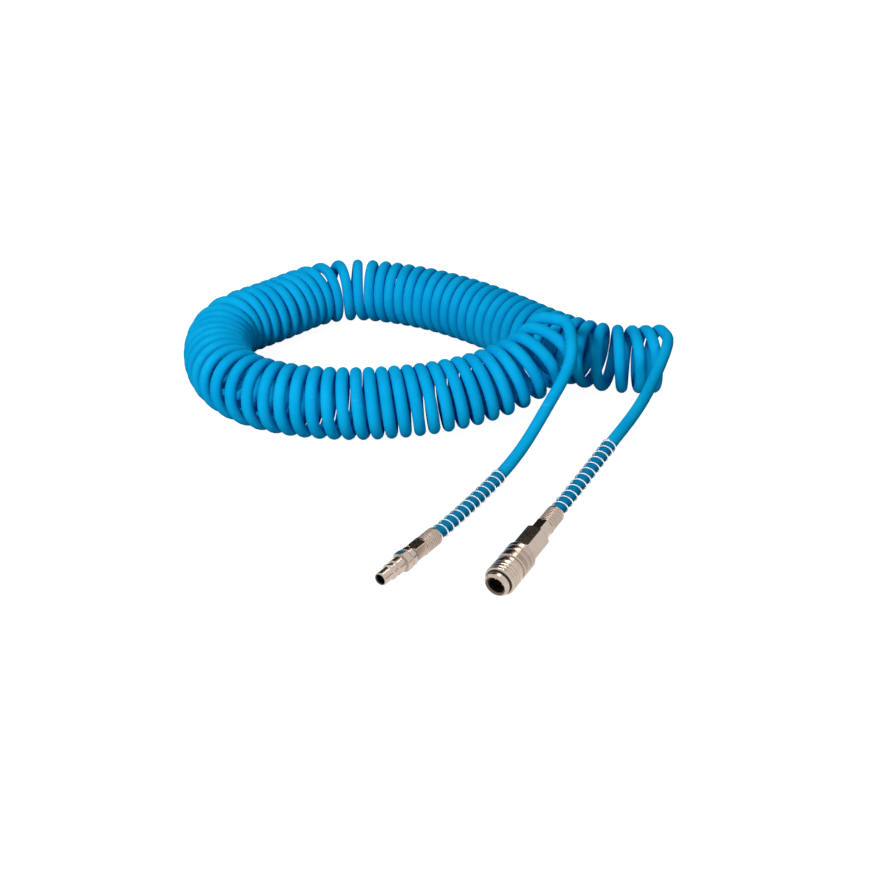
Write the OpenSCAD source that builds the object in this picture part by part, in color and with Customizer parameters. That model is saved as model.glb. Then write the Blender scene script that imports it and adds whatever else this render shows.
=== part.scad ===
// Coiled air hose: a long curly hose laid in a hooked bundle, with a plug on one end and a
// quick-release socket on the other. Millimetres, +Z up, standing on the plane z = 0.

/* [Hose] */
// Outer diameter of the hose
hose_d = 10; // [8.5:0.5:11.5]
// Bore of the hose
hose_bore = 7; // [6.5:0.5:8]
// Outer diameter of the coil
coil_d = 61; // [48:1:72]
// Spacing of the coil's turns at its loose ends
loose_pitch = 12.5; // [10:0.5:16]
// How far the solid of the coil stops short of its last turn
coil_trim = 5; // [0:0.5:10]

/* [Hose connection, the same on both ends] */
// Length of the union nut
nut_len = 30; // [24:1:36]
// Length of the nut's hexagon
nut_hex_len = 12.5; // [9:0.5:14]
// Hexagon of the union nut, across flats
nut_af = 13.5; // [13.5:0.5:16]
// Diameter to which the nut's corners are turned down
nut_corner_d = 15.2; // [14.8:0.2:18]
// Wall of the nut's ribbed collar where it holds the bend spring
nut_wall = 0.45; // [0.4:0.05:1.5]
// Number of fine grooves around the nut's collar
nut_grooves = 7; // [0:1:9]
// Outer diameter of the thread that the nut screws onto
thread_d = 12; // [11.5:0.1:12.4]
// Length of that thread
thread_len = 10; // [8:0.5:10.5]
// Diameter of the stem that the hose is pushed over
stem_d = 6; // [5:0.1:6.2]
// Length of that stem
stem_len = 12; // [8:0.5:14]
// Air passage through the stem
stem_bore = 4.6; // [3:0.1:5]
// Thin gap between the nut and the shoulder in front of it
nut_gap = 0.4; // [0.2:0.1:1]

/* [Bend springs] */
// Wire diameter of the bend springs
bend_wire = 1.2; // [0.8:0.1:1.4]
// Radial clearance between a bend spring and the hose
bend_clearance = 0.25; // [0.2:0.05:0.5]
// Number of turns in a bend spring
bend_turns = 14; // [8:1:20]
// Length of a bend spring
bend_len = 95; // [60:5:120]
// Depth of the nut's recess that holds the spring
bend_seat = 3; // [2:0.5:5]

/* [Plug] */
// Diameter of the plug's nose
nose_d = 9.9; // [8:0.1:10]
// Length of the nose
nose_len = 9.3; // [8:0.1:12]
// Air passage through the nose
nose_bore = 7.2; // [5:0.1:7.6]
// Diameter of the ridge behind the nose
ridge_d = 11.9; // [11:0.1:11.9]
// Diameter at the bottom of the ball groove
groove_d = 9.8; // [9:0.1:9.8]
// Diameter of the plug's body
plug_d = 12; // [11.9:0.05:12]
// Length from the tip to the plug's hexagon
plug_front = 23.6; // [22:0.1:30]
// Hexagon of the plug, across flats
plug_af = 14; // [13:0.5:17]
// Length of that hexagon
plug_hex_len = 6.4; // [4:0.2:10]
// Diameter of the flange behind the hexagon
flange_d = 15; // [15:0.2:20]
// Thickness of that flange
flange_len = 5; // [2:0.2:8]

/* [Socket] */
// Outer diameter of the release sleeve
sleeve_d = 23; // [22.6:0.2:30]
// Length of the release sleeve
sleeve_len = 13.45; // [13:0.05:13.45]
// How far the sleeve slides back
sleeve_travel = 3; // [2.6:0.1:3]
// Diameter of the nose in front of the sleeve
rim_d = 18.7; // [18:0.1:20]
// Length of that nose
rim_len = 4.4; // [3:0.1:4.4]
// Bore that takes the plug's body
mouth_d = 12.16; // [12.1:0.02:12.2]
// Flare at the mouth
flare_d = 14.5; // [13:0.1:17]
// Diameter of a locking ball
ball_d = 3.2; // [2.6:0.05:3.5]
// Number of locking balls
ball_count = 6; // [6:1:6]
// Distance from the mouth to the balls
ball_z = 10.7; // [10.7:0.05:10.9]
// How far each ball moves outwards
ball_travel = 1.25; // [1.15:0.05:1.25]
// Length of the socket's front body
cage_len = 27; // [26:0.1:28]
// Bore that guides the plug's nose and the valve
guide_d = 10.2; // [10.1:0.05:10.4]
// Length of the collar behind the sleeve
collar_len = 15.8; // [12:0.1:20]
// Hexagon of the socket, across flats
socket_af = 19; // [18:0.5:20]
// Length of that hexagon
socket_hex_len = 21.6; // [16:0.2:26]
// How far the valve opens
valve_travel = 4.3; // [3:0.1:5]
// Wire diameter of the springs inside the socket
inner_wire = 0.8; // [0.5:0.05:0.8]

/* [Hidden] */
$fn = 64;

// Where the two couplings lie: tip or mouth, compass angle that they point to, dip of the front
plug_at = [-28, -231.5];
plug_yaw = 234.6;
plug_tilt = 0;
socket_at = [51, -243];
socket_yaw = 238;
socket_tilt = 6;

// How far each hexagon is turned about its axis, from a corner on top
plug_hex_turn = 6;
plug_nut_turn = 36;
socket_hex_turn = 28;
socket_nut_turn = 20;

// The coil's centre line from the plug's end to the socket's end: [x, y, height off the floor]
coil_route = [[113, 36, 30], [105, 26, 27], [91, 14, 20], [62, 0, 9], [10, -15, 2],
              [-55, -21, 0], [-105, -15, 0], [-149, 3, 0], [-177, 38, 0], [-189, 84, 0],
              [-187, 130, 0], [-163, 154, 0], [-139, 176, 0], [-118, 202, 0], [-91, 220, 0],
              [-54, 223, 0], [18, 196, 0], [85, 135, 0], [110, 100, 0], [163, 61, 0], [212, 66, 0]];

// The two straight stretches, from the coil's top to where each bend spring begins
plug_tail_route = [[123, 10, 83], [124, -8, 71], [116, -22, 56], [104, -36, 42],
                   [91, -54, 27], [76, -78, 16], [58, -105, 10], [40, -132, 8]];
socket_tail_route = [[210, 38, 52], [199, 11, 46], [187, -17, 41], [174, -44, 38],
                     [160, -68, 35], [145, -92, 32], [130, -117, 28]];
tail_lead = 14;      // how far a stretch runs on along the last turn
coil_steps = 3;      // rings between two points of the coil's route
tail_steps = 2;      // rings between two points of a straight stretch
coil_sides = 24;
hose_sides = 12;
wire_sides = 6;
wire_steps = 14;     // rings in one turn of a spring

// Clearances
thread_gap = 0.05;   // screwed joints, each side
grip_gap = 0.2;      // between the hose and what it is pushed over or through
slide_gap = 0.1;     // sliding fits, each side
seat_gap = 0.05;     // between two pieces that rest on each other

coil_r = coil_d / 2;
turn_r = (coil_d - hose_d) / 2;
bend_r = hose_d / 2 + bend_clearance + bend_wire / 2;
bend_recess_d = 2 * bend_r + bend_wire + 0.2;
nut_collar_d = bend_recess_d + 2 * nut_wall;

// Plug, measured from its tip
ridge_z0 = nose_len + 1.2;
ridge_z1 = ridge_z0 + 1.8;
groove_z0 = ridge_z1 + 0.5;
groove_z1 = groove_z0 + 2.8;
body_z0 = groove_z1 + 0.8;
flange_z0 = plug_front + plug_hex_len;
plug_shoulder = flange_z0 + flange_len;
plug_corner_d = plug_af + 1.8;
barb_d = stem_d + 0.4;

// Socket, measured from its mouth
ball_in_r = groove_d / 2 + ball_d / 2;
cage_d = groove_d + 2 * ball_d - 2 * slide_gap;   // tube that carries the balls
rim_gap = 0.05;
stop_ring_len = 0.6;
sleeve_z0 = rim_len + stop_ring_len + 3 * rim_gap;
sleeve_z1 = sleeve_z0 + sleeve_len;
sleeve_lip = 0.7;
sleeve_edge = 0.6;                             // chamfer on the sleeve's front edge
land_r = cage_d / 2 + slide_gap;
relief_r = ball_in_r + ball_travel + ball_d / 2 + 0.15;
cam_slope = 1.08 * ball_travel / sleeve_travel;
cam_z1 = ball_z + 0.45;
cam_z0 = cam_z1 - (relief_r - land_r) / cam_slope;
land_z1 = cam_z1 + 1.85;
neck_d = sleeve_d - 2.4;
skirt_r = neck_d / 2 + 0.2;
neck_z0 = land_z1 + sleeve_travel + 0.6;
spring_seat_z = land_z1 + sleeve_travel + 3.5;
collar_z0 = sleeve_z1 + sleeve_travel + 0.2;
collar_z1 = collar_z0 + collar_len;
socket_shoulder = collar_z1 + socket_hex_len;
flare_len = 1;
track_z0 = ball_z - 1.9;                       // shallow track that the ball holes open into
track_z1 = ball_z + 1.9;
guide_z0 = ball_z + 6.5;
seal_z = guide_z0 + 1.6;
body_seal_z = cage_len - 1.8;
socket_corner_d = socket_af + 2.4;
valve_z0 = seal_z + 1.8;
valve_seal_len = 0.85;
valve_flange_len = 1.7;
valve_r = guide_d / 2 - slide_gap;
valve_flange_r = valve_r + 1.4;
chamber_r = valve_flange_r + 0.8;
flange_back = cage_len + valve_seal_len + valve_flange_len + seat_gap;
pressed_spring_len = 10.1;                     // the valve's spring with the valve fully open
chamber_z1 = flange_back + valve_travel + pressed_spring_len;
poppet_bore = 7.2;
hub_d = 7.6;                                   // the poppet's hub inside its spring
spring_gap = 0.4;                              // between an inner spring and what it is around
sleeve_spring_turns = 4;
valve_spring_turns = 6;

// Sizes that only shape edges and ribs
rib_depth = 0.35;
rib_width = 0.6;

function unit(v) = v / norm(v);

// Direction from a coupling's front towards its hose, and a point on that line
function back_dir(yaw, tilt) = [-cos(yaw) * cos(tilt), -sin(yaw) * cos(tilt), sin(tilt)];
plug_axis = back_dir(plug_yaw, plug_tilt);
socket_axis = back_dir(socket_yaw, socket_tilt);
plug_tip = [plug_at.x, plug_at.y, max(flange_d, plug_corner_d) / 2];
mouth_height = sleeve_d / 2 * cos(socket_tilt) - (sleeve_z0 + sleeve_edge) * sin(socket_tilt);
socket_mouth = [socket_at.x, socket_at.y, mouth_height];
function plug_point(z) = plug_tip + plug_axis * z;
function socket_point(z) = socket_mouth + socket_axis * z;

// Smooth curve through a list of control points: a uniform cubic B-spline that starts and ends
// on the first and last of them
function mirrored(k) = concat([2 * k[0] - k[1]], k, [2 * k[len(k) - 1] - k[len(k) - 2]]);
function blend4(t) = [pow(1 - t, 3), 3 * t * t * t - 6 * t * t + 4,
                      -3 * t * t * t + 3 * t * t + 3 * t + 1, t * t * t] / 6;
function curve(k, steps) =
    let (e = mirrored(k), spans = len(k) - 1)
    [for (i = [0 : spans * steps])
        let (s = min(floor(i / steps), spans - 1), w = blend4(i / steps - s))
        w[0] * e[s] + w[1] * e[s + 1] + w[2] * e[s + 2] + w[3] * e[s + 3]];

// Direction of a line of points at each of them
function directions(p) = [for (i = [0 : len(p) - 1])
    unit(p[min(i + 1, len(p) - 1)] - p[max(i - 1, 0)])];

// Distance run along a line of points at each of them
function distances(p) = [for (i = 0, s = 0; i < len(p);
    s = s + (i + 1 < len(p) ? norm(p[i + 1] - p[i]) : 0), i = i + 1) s];

// Part of a line of points cut to start and stop at given distances along it
function at_distance(p, d, s) = [for (a = [0 : 2]) lookup(s, [for (i = [0 : len(p) - 1]) [d[i], p[i][a]]])];
function trimmed(p, start, stop) =
    let (d = distances(p), last = d[len(d) - 1] - stop)
    concat([at_distance(p, d, start)],
           [for (i = [0 : len(p) - 1]) if (d[i] > start + 1 && d[i] < last - 1) p[i]],
           [at_distance(p, d, last)]);

// One closed skin over rings, each given as [centre, direction, side that its first point is on,
// radius]
module skin(rings, sides) {
    count = len(rings);
    points = [for (r = rings)
        let (u = unit(r[2] - r[1] * (r[2] * r[1])), v = cross(r[1], u))
        for (k = [0 : sides - 1]) r[0] + r[3] * (cos(360 * k / sides) * u + sin(360 * k / sides) * v)];
    walls = [for (i = [0 : count - 2], k = [0 : sides - 1])
        let (a = i * sides + k, b = i * sides + (k + 1) % sides)
        each [[a, a + sides, b + sides], [a, b + sides, b]]];
    first = [for (k = [0 : sides - 1]) k];
    last = [for (k = [sides - 1 : -1 : 0]) (count - 1) * sides + k];
    polyhedron(points, concat(walls, [first], [last]));
}

// A round wire wound about a line of points
module wound(line, turns, radius, wire, sides) {
    run = distances(line);
    total = run[len(run) - 1];
    dead = 1.25 * wire;
    rise = [[0, wire / 2], [1, wire / 2 + dead], [turns - 1, total - wire / 2 - dead],
            [turns, total - wire / 2]];
    steps = round(turns * wire_steps);
    tables = [for (a = [0 : 2]) [for (i = [0 : len(line) - 1]) [run[i], line[i][a]]]];
    centres = [for (i = [0 : steps])
        let (s = lookup(i / wire_steps, rise), p = [for (t = tables) lookup(s, t)],
             q = [for (t = tables) lookup(min(s + 2, total), t)],
             o = [for (t = tables) lookup(max(s - 2, 0), t)],
             axis = unit(q - o), side = unit(cross(axis, [0, 0, 1])), up = cross(side, axis),
             turn = 360 * i / wire_steps)
        [p, cos(turn) * up + sin(turn) * side]];
    wire_line = [for (c = centres) c[0] + radius * c[1]];
    wire_dir = directions(wire_line);
    skin([for (i = [0 : steps]) [wire_line[i], wire_dir[i], centres[i][1], wire / 2]], sides);
}

// The coil's centre line, and where the hose leaves its two ends
coil_line = curve([for (p = coil_route) [p.x, p.y, p.z + coil_r]], coil_steps);
function coil_up(t) = unit([0, 0, 1] - t * t.z);
function turn_dir(t) = unit(t * loose_pitch + cross(t, coil_up(t)) * 2 * PI * turn_r);
coil_last = len(coil_line) - 1;
plug_end_dir = unit(coil_line[1] - coil_line[0]);
socket_end_dir = unit(coil_line[coil_last] - coil_line[coil_last - 1]);
plug_end_top = coil_line[0] + turn_r * coil_up(plug_end_dir);
socket_end_top = coil_line[coil_last] + turn_r * coil_up(socket_end_dir);

// The straight stretches, each ending at the end of the stem that it is pushed over
plug_stem_end = plug_shoulder + thread_len + stem_len + grip_gap;
socket_stem_end = socket_shoulder + thread_len + stem_len + grip_gap;
plug_tail = curve(concat([plug_end_top, plug_end_top - tail_lead * turn_dir(plug_end_dir)],
    plug_tail_route, [plug_point(plug_stem_end + 30), plug_point(plug_stem_end)]), tail_steps);
socket_tail = curve(concat([socket_end_top, socket_end_top + tail_lead * turn_dir(socket_end_dir)],
    socket_tail_route, [socket_point(socket_stem_end + 30), socket_point(socket_stem_end)]), tail_steps);

// Stretch of hose with a blind end over the stem
module tail(line, stem_start, axis) {
    up = [0, 0, 1];
    along = directions(line);
    n = len(line) - 1;
    grip = [for (s = [[line[n], hose_d / 2], [stem_start, hose_d / 2],
                      [stem_start, hose_bore / 2], [line[n], hose_bore / 2]]) [s[0], -axis, up, s[1]]];
    skin(concat([for (i = [0 : n - 1]) [line[i], along[i], up, hose_d / 2]], grip), hose_sides);
}

// Where the bend springs run: back from the recess in each nut
function bend_line(line, nut_end) =
    let (fine = [for (i = [len(line) - 1 : -1 : 0]) line[i]],
         d = distances(fine), start = nut_end - bend_seat + seat_gap)
    [for (i = [0 : 24]) at_distance(fine, d, start + bend_len * i / 24)];

module at_plug() {
    translate(plug_tip) rotate([0, plug_tilt, plug_yaw]) rotate([0, -90, 0]) children();
}
module at_socket() {
    translate(socket_mouth) rotate([0, socket_tilt, socket_yaw]) rotate([0, -90, 0]) children();
}

// Solid turned about the z axis, from an outline of [height, diameter] pairs
module lathe(outline) {
    last = len(outline) - 1;
    rotate_extrude()
        polygon(concat([[0, outline[0][0]]], [for (p = outline) [p[1] / 2, p[0]]], [[0, outline[last][0]]]));
}

// Hexagon bar with its corners turned down and bevelled, a corner on the side given by angle
module hexagon(z0, z1, af, corner_d, angle) {
    bevel = min(0.8, (z1 - z0) / 4);
    intersection() {
        rotate([0, 0, angle]) translate([0, 0, z0]) cylinder(h = z1 - z0, d = af / cos(30), $fn = 6);
        lathe([[z0, corner_d - 2 * bevel], [z0 + bevel, corner_d],
               [z1 - bevel, corner_d], [z1, corner_d - 2 * bevel]]);
    }
}

// Fine groove cut around a turned piece
module rib_groove(z, d) {
    rotate_extrude() translate([d / 2 - rib_depth, z - rib_width / 2]) square([rib_depth + 1, rib_width]);
}

// Outline of the threaded boss and barbed stem behind a shoulder
function stem_outline(z) =
    let (root = z + thread_len, pitch = (stem_len - 1) / 3)
    concat([[z, thread_d], [root - 0.6, thread_d], [root, thread_d - 1.2], [root, stem_d]],
           [for (i = [0 : 2]) each [[root + 1 + pitch * i, stem_d], [root + 1 + pitch * i, barb_d],
                                    [root + 0.6 + pitch * (i + 1), stem_d]]],
           [[root + stem_len, stem_d]]);

// Union nut with its front face at z = 0, one corner of its hexagon on the side given by angle
module union_nut(angle) {
    grip_z = thread_len + nut_gap + 1;
    screw_d = thread_d + 2 * thread_gap;
    pass_d = hose_d + 2 * grip_gap;
    rib_pitch = (nut_len - nut_hex_len - 3) / max(nut_grooves, 1);
    difference() {
        union() {
            hexagon(0, nut_hex_len, nut_af, nut_corner_d, angle);
            lathe([[0.5, nut_af - 0.6], [nut_hex_len - 0.3, nut_af - 0.6], [nut_hex_len, nut_collar_d],
                   [nut_len - 0.6, nut_collar_d], [nut_len, nut_collar_d - 0.6]]);
        }
        lathe([[-1, screw_d], [grip_z, screw_d], [grip_z + 2, pass_d], [nut_len - bend_seat, pass_d],
               [nut_len - bend_seat, bend_recess_d], [nut_len + 1, bend_recess_d]]);
        for (i = [0 : 1 : nut_grooves - 1]) {
            rib_groove(nut_hex_len + 2 + rib_pitch * i, nut_collar_d);
        }
    }
}

module hose_coil() {
    line = trimmed(coil_line, coil_trim, coil_trim);
    along = directions(line);
    color("deepskyblue")
    skin([for (i = [0 : len(line) - 1]) [line[i], along[i], [0, 0, 1], coil_r]], coil_sides);
}

module hose_tail_plug() {
    start = plug_point(plug_shoulder + thread_len + grip_gap);
    color("deepskyblue") tail(plug_tail, start, plug_axis);
}

module hose_tail_socket() {
    start = socket_point(socket_shoulder + thread_len + grip_gap);
    color("deepskyblue") tail(socket_tail, start, socket_axis);
}

module plug_nipple() {
    stem_end = plug_shoulder + thread_len + stem_len;
    color("wheat") at_plug() difference() {
        union() {
            lathe(concat([[0, nose_d - 1.2], [0.8, nose_d], [nose_len, nose_d],
                          [ridge_z0, ridge_d], [ridge_z1, ridge_d],
                          [groove_z0, groove_d], [groove_z1, groove_d],
                          [body_z0, plug_d], [flange_z0, plug_d],
                          [flange_z0, flange_d - 0.6], [flange_z0 + 0.4, flange_d],
                          [plug_shoulder - 0.5, flange_d], [plug_shoulder, flange_d - 1]],
                         stem_outline(plug_shoulder)));
            hexagon(plug_front, flange_z0 + 0.2, plug_af, plug_corner_d, plug_hex_turn);
        }
        lathe([[-1, nose_bore + 3], [-0.01, nose_bore + 1.1], [0.6, nose_bore],
               [plug_front + 2, nose_bore], [plug_front + 4, stem_bore], [stem_end + 1, stem_bore]]);
    }
}

module plug_nut() {
    color("wheat") at_plug() translate([0, 0, plug_shoulder + nut_gap]) union_nut(plug_nut_turn);
}

module plug_bend_spring() {
    color("gainsboro")
    wound(bend_line(plug_tail, plug_shoulder + nut_gap + nut_len - plug_stem_end),
          bend_turns, bend_r, bend_wire, wire_sides);
}

module socket_body() {
    seal_width = 2;
    groove_len = 1.2;
    color("wheat") at_socket() difference() {
        lathe([[0, rim_d - 2.8], [1.4, rim_d], [rim_len, rim_d], [rim_len, cage_d],
               [body_seal_z - groove_len / 2, cage_d], [body_seal_z - groove_len / 2, cage_d - 2],
               [body_seal_z + groove_len / 2, cage_d - 2], [body_seal_z + groove_len / 2, cage_d],
               [cage_len, cage_d]]);
        lathe([[-1, flare_d + 1], [-0.01, flare_d], [flare_len, mouth_d],
               [track_z0, mouth_d], [track_z0, mouth_d + 0.6], [track_z1, mouth_d + 0.6],
               [track_z1, mouth_d], [guide_z0 - 0.8, mouth_d],
               [guide_z0, guide_d], [seal_z - seal_width / 2, guide_d],
               [seal_z - seal_width / 2, guide_d + 2.6], [seal_z + seal_width / 2, guide_d + 2.6],
               [seal_z + seal_width / 2, guide_d], [cage_len + 1, guide_d]]);
        for (i = [1 : ball_count]) {
            rotate([0, 0, 360 * i / ball_count]) translate([mouth_d / 2 - 1.5, 0, ball_z])
                rotate([0, 90, 0]) cylinder(h = cage_d, d = ball_d + 2 * seat_gap);
        }
    }
}

module nose_seal() {
    color("dimgray") at_socket() translate([0, 0, seal_z])
        rotate_extrude() translate([guide_d / 2 + 0.4, 0]) circle(d = 1.7, $fn = 32);
}

module body_seal() {
    color("dimgray") at_socket() translate([0, 0, body_seal_z])
        rotate_extrude() translate([cage_d / 2 - 0.5, 0]) circle(d = 1, $fn = 32);
}

module socket_adapter() {
    bore_d = cage_d + 2 * thread_gap;
    core_d = socket_af - 1;
    stem_end = socket_shoulder + thread_len + stem_len;
    color("wheat") at_socket() difference() {
        union() {
            lathe(concat([[neck_z0, neck_d], [collar_z0, neck_d], [collar_z0, sleeve_d - 1],
                          [collar_z0 + 0.5, sleeve_d], [collar_z1 - 1, sleeve_d],
                          [collar_z1, sleeve_d - 2], [collar_z1, core_d],
                          [socket_shoulder - 0.5, core_d], [socket_shoulder - 0.5, thread_d]],
                         stem_outline(socket_shoulder)));
            hexagon(collar_z1 - 1, socket_shoulder, socket_af, socket_corner_d, socket_hex_turn);
        }
        lathe([[neck_z0 - 1, neck_d - 1.4], [spring_seat_z, neck_d - 1.4], [spring_seat_z, bore_d],
               [cage_len + seat_gap, bore_d], [cage_len + seat_gap, 2 * chamber_r],
               [chamber_z1, 2 * chamber_r], [chamber_z1, 8], [chamber_z1 + 4, stem_bore],
               [stem_end + 1, stem_bore]]);
        for (z = [collar_z0 + 6.5, collar_z0 + 11.5]) {
            rib_groove(z, sleeve_d);
        }
    }
}

module release_sleeve() {
    color("wheat") at_socket() difference() {
        lathe([[sleeve_z0, sleeve_d - 2 * sleeve_edge], [sleeve_z0 + sleeve_edge, sleeve_d],
               [sleeve_z1 - 0.4, sleeve_d], [sleeve_z1, sleeve_d - 0.8]]);
        lathe([[sleeve_z0 - 1, 2 * land_r], [sleeve_z0 + sleeve_lip, 2 * land_r],
               [sleeve_z0 + sleeve_lip, 2 * relief_r], [cam_z0, 2 * relief_r], [cam_z1, 2 * land_r],
               [land_z1, 2 * land_r], [land_z1, 2 * skirt_r], [sleeve_z1 + 1, 2 * skirt_r]]);
        for (i = [1 : 3]) {
            rib_groove(sleeve_z0 + 2.9 * i, sleeve_d);
        }
    }
}

// Flat ring, given its two faces and two diameters
module washer(z0, z1, outer_d, inner_d) {
    rotate_extrude() translate([inner_d / 2, z0]) square([(outer_d - inner_d) / 2, z1 - z0]);
}

module sleeve_stop_ring() {
    z0 = rim_len + rim_gap;
    color("dimgray") at_socket() washer(z0, z0 + stop_ring_len, rim_d + 1.2, cage_d + 2 * slide_gap);
}

module sleeve_spring() {
    color("gainsboro")
    wound([socket_point(land_z1 + seat_gap), socket_point(spring_seat_z - seat_gap)],
          sleeve_spring_turns, cage_d / 2 + spring_gap + inner_wire / 2, inner_wire, wire_sides);
}

module lock_ball(number) {
    color("silver") at_socket() rotate([0, 0, 360 * number / ball_count])
        translate([ball_in_r, 0, ball_z]) sphere(d = ball_d, $fn = 32);
}

module valve_poppet() {
    flange_z = flange_back - valve_flange_len;
    window_z = cage_len - 2.2;
    color("goldenrod") at_socket() difference() {
        lathe([[valve_z0, 2 * valve_r], [flange_z, 2 * valve_r], [flange_z, 2 * valve_flange_r],
               [flange_back, 2 * valve_flange_r], [flange_back, hub_d], [flange_back + 2, hub_d - 0.8]]);
        lathe([[valve_z0 - 1, poppet_bore], [window_z + 1.4, poppet_bore]]);
        for (a = [0, 90]) {
            rotate([0, 0, a]) translate([-valve_r - 1, 0, window_z]) rotate([0, 90, 0])
                cylinder(h = 2 * valve_r + 2, d = 2.6);
        }
    }
}

module valve_seal() {
    color("dimgray") at_socket()
        washer(cage_len + seat_gap, cage_len + seat_gap + valve_seal_len,
               2 * valve_flange_r, 2 * valve_r + 0.04);
}

module valve_spring() {
    color("gainsboro")
    wound([socket_point(flange_back + seat_gap), socket_point(chamber_z1 - seat_gap)],
          valve_spring_turns, hub_d / 2 + spring_gap + inner_wire / 2, inner_wire, wire_sides);
}

module socket_nut() {
    color("wheat") at_socket() translate([0, 0, socket_shoulder + nut_gap])
        union_nut(socket_nut_turn);
}

module socket_bend_spring() {
    color("gainsboro")
    wound(bend_line(socket_tail, socket_shoulder + nut_gap + nut_len - socket_stem_end),
          bend_turns, bend_r, bend_wire, wire_sides);
}

hose_coil();
hose_tail_plug();
hose_tail_socket();
plug_nipple();
plug_nut();
plug_bend_spring();
socket_body();
socket_adapter();
release_sleeve();
sleeve_stop_ring();
sleeve_spring();
lock_ball(1);  // lock_ball_1
lock_ball(2);  // lock_ball_2
lock_ball(3);  // lock_ball_3
lock_ball(4);  // lock_ball_4
lock_ball(5);  // lock_ball_5
lock_ball(6);  // lock_ball_6
valve_poppet();
valve_seal();
valve_spring();
nose_seal();
body_seal();
socket_nut();
socket_bend_spring();
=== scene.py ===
"""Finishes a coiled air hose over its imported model: the hose, its bend guards and its two couplings.

Sizes in the tables are millimetres, as on a drawing; everything in Blender is metres.
"""

import math

import bmesh
import bpy
import numpy as np
from mathutils import Matrix, Vector


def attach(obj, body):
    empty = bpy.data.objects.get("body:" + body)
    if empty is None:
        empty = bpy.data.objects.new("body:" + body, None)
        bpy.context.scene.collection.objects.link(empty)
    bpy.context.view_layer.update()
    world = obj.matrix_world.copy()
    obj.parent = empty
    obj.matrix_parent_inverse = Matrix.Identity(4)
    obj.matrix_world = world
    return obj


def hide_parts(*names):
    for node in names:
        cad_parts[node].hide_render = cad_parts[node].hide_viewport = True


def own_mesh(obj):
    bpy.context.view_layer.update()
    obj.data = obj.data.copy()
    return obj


bl_info = {
    "name": "Coiled air hose",
    "version": (1, 0, 0),
    "blender": (4, 5, 0),
    "location": "3D Viewport > Sidebar > Air hose",
    "description": "Finishes a coiled air hose with its plug and its quick-release socket",
    "category": "Object",
}

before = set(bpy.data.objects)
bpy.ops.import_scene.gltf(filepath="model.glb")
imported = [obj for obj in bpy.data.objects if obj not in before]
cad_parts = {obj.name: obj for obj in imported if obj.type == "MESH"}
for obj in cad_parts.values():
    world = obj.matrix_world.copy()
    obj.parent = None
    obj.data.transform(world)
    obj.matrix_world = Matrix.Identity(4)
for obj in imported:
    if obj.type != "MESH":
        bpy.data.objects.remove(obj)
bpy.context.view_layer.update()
MM = 0.001

# The coil's middle line from the plug's end to the socket's. At each point: x, y, the height of the coil's
# underside and the spacing of the turns.
COIL_ROUTE = [
    (113, 36, 30, 15), (105, 26, 27, 15), (91, 14, 20, 14.5), (62, 0, 9, 12.2), (10, -15, 2, 11.2),
    (-55, -21, 0, 11), (-105, -15, 0, 11.2), (-149, 3, 0, 11.4), (-177, 38, 0, 11.5),
    (-189, 84, 0, 11.5), (-187, 130, 0, 11.2), (-163, 154, 0, 11.2), (-139, 176, 0, 11.2),
    (-118, 202, 0, 11.2), (-91, 220, 0, 11.4), (-54, 223, 0, 11.4), (18, 196, 0, 11.6),
    (85, 135, 0, 11.6), (110, 100, 0, 11.6), (163, 61, 0, 12.4), (212, 66, 0, 12.8),
]
ROUTE_STEPS, TURN_POINTS = 40, 36  # steps from a point of the route to the next, and in a turn of the hose
TOUCHING = 1.02  # least spacing of two turns, in hose diameters
SHARPEST_BEND = 0.02  # most that the spacing makes room for, in radians a millimetre

# The straight stretches from the coil to the couplings: x, y and the height of the hose's middle.
PLUG_TAIL = [(123, 10, 83), (124, -8, 71), (116, -22, 56), (104, -36, 42), (91, -54, 27), (76, -78, 16),
             (58, -105, 10), (40, -132, 8)]
SOCKET_TAIL = [(210, 38, 52), (199, 11, 46), (187, -17, 41), (174, -44, 38), (160, -68, 35), (145, -92, 32),
               (130, -117, 28)]
TAIL_STEPS = 8  # steps from a point of a straight stretch to the next
TAIL_LEAD = 14  # how far a straight stretch runs on along the last turn
STEM_GRIP = 30  # straight hose before a stem

# Each coupling: where its tip is, the angle from x to where it points, and its dip, in degrees.
PLUG_PLACE = ((-28, -231.5, 7.9), 234.6, 0)
SOCKET_PLACE = ((51, -243, 10.836), 238, 6)
# From a coupling's tip to the back end of its stem, and to the front of its union nut.
PLUG_STEM_END, PLUG_NUT = 57.2, 35.4
SOCKET_STEM_END, SOCKET_NUT = 81.4, 59.6
NUT_LENGTH = 30
GUARD_SEAT = 2.95  # how deep a bend guard sits in the back of its nut
GUARD_GAP = 0.25  # between the hose and the guard's wire
GUARD_POINTS = 160  # on the line that a guard is wound about
SPRING_WIRE = 0.8  # the two springs inside the socket
CLOSED_TURN = 1.25  # rise of a spring's end turns, in wire diameters

# The release sleeve's travel, and how far the lock balls move out with it.
SLEEVE_TRAVEL, BALL_TRAVEL = 3, 1.25

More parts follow.
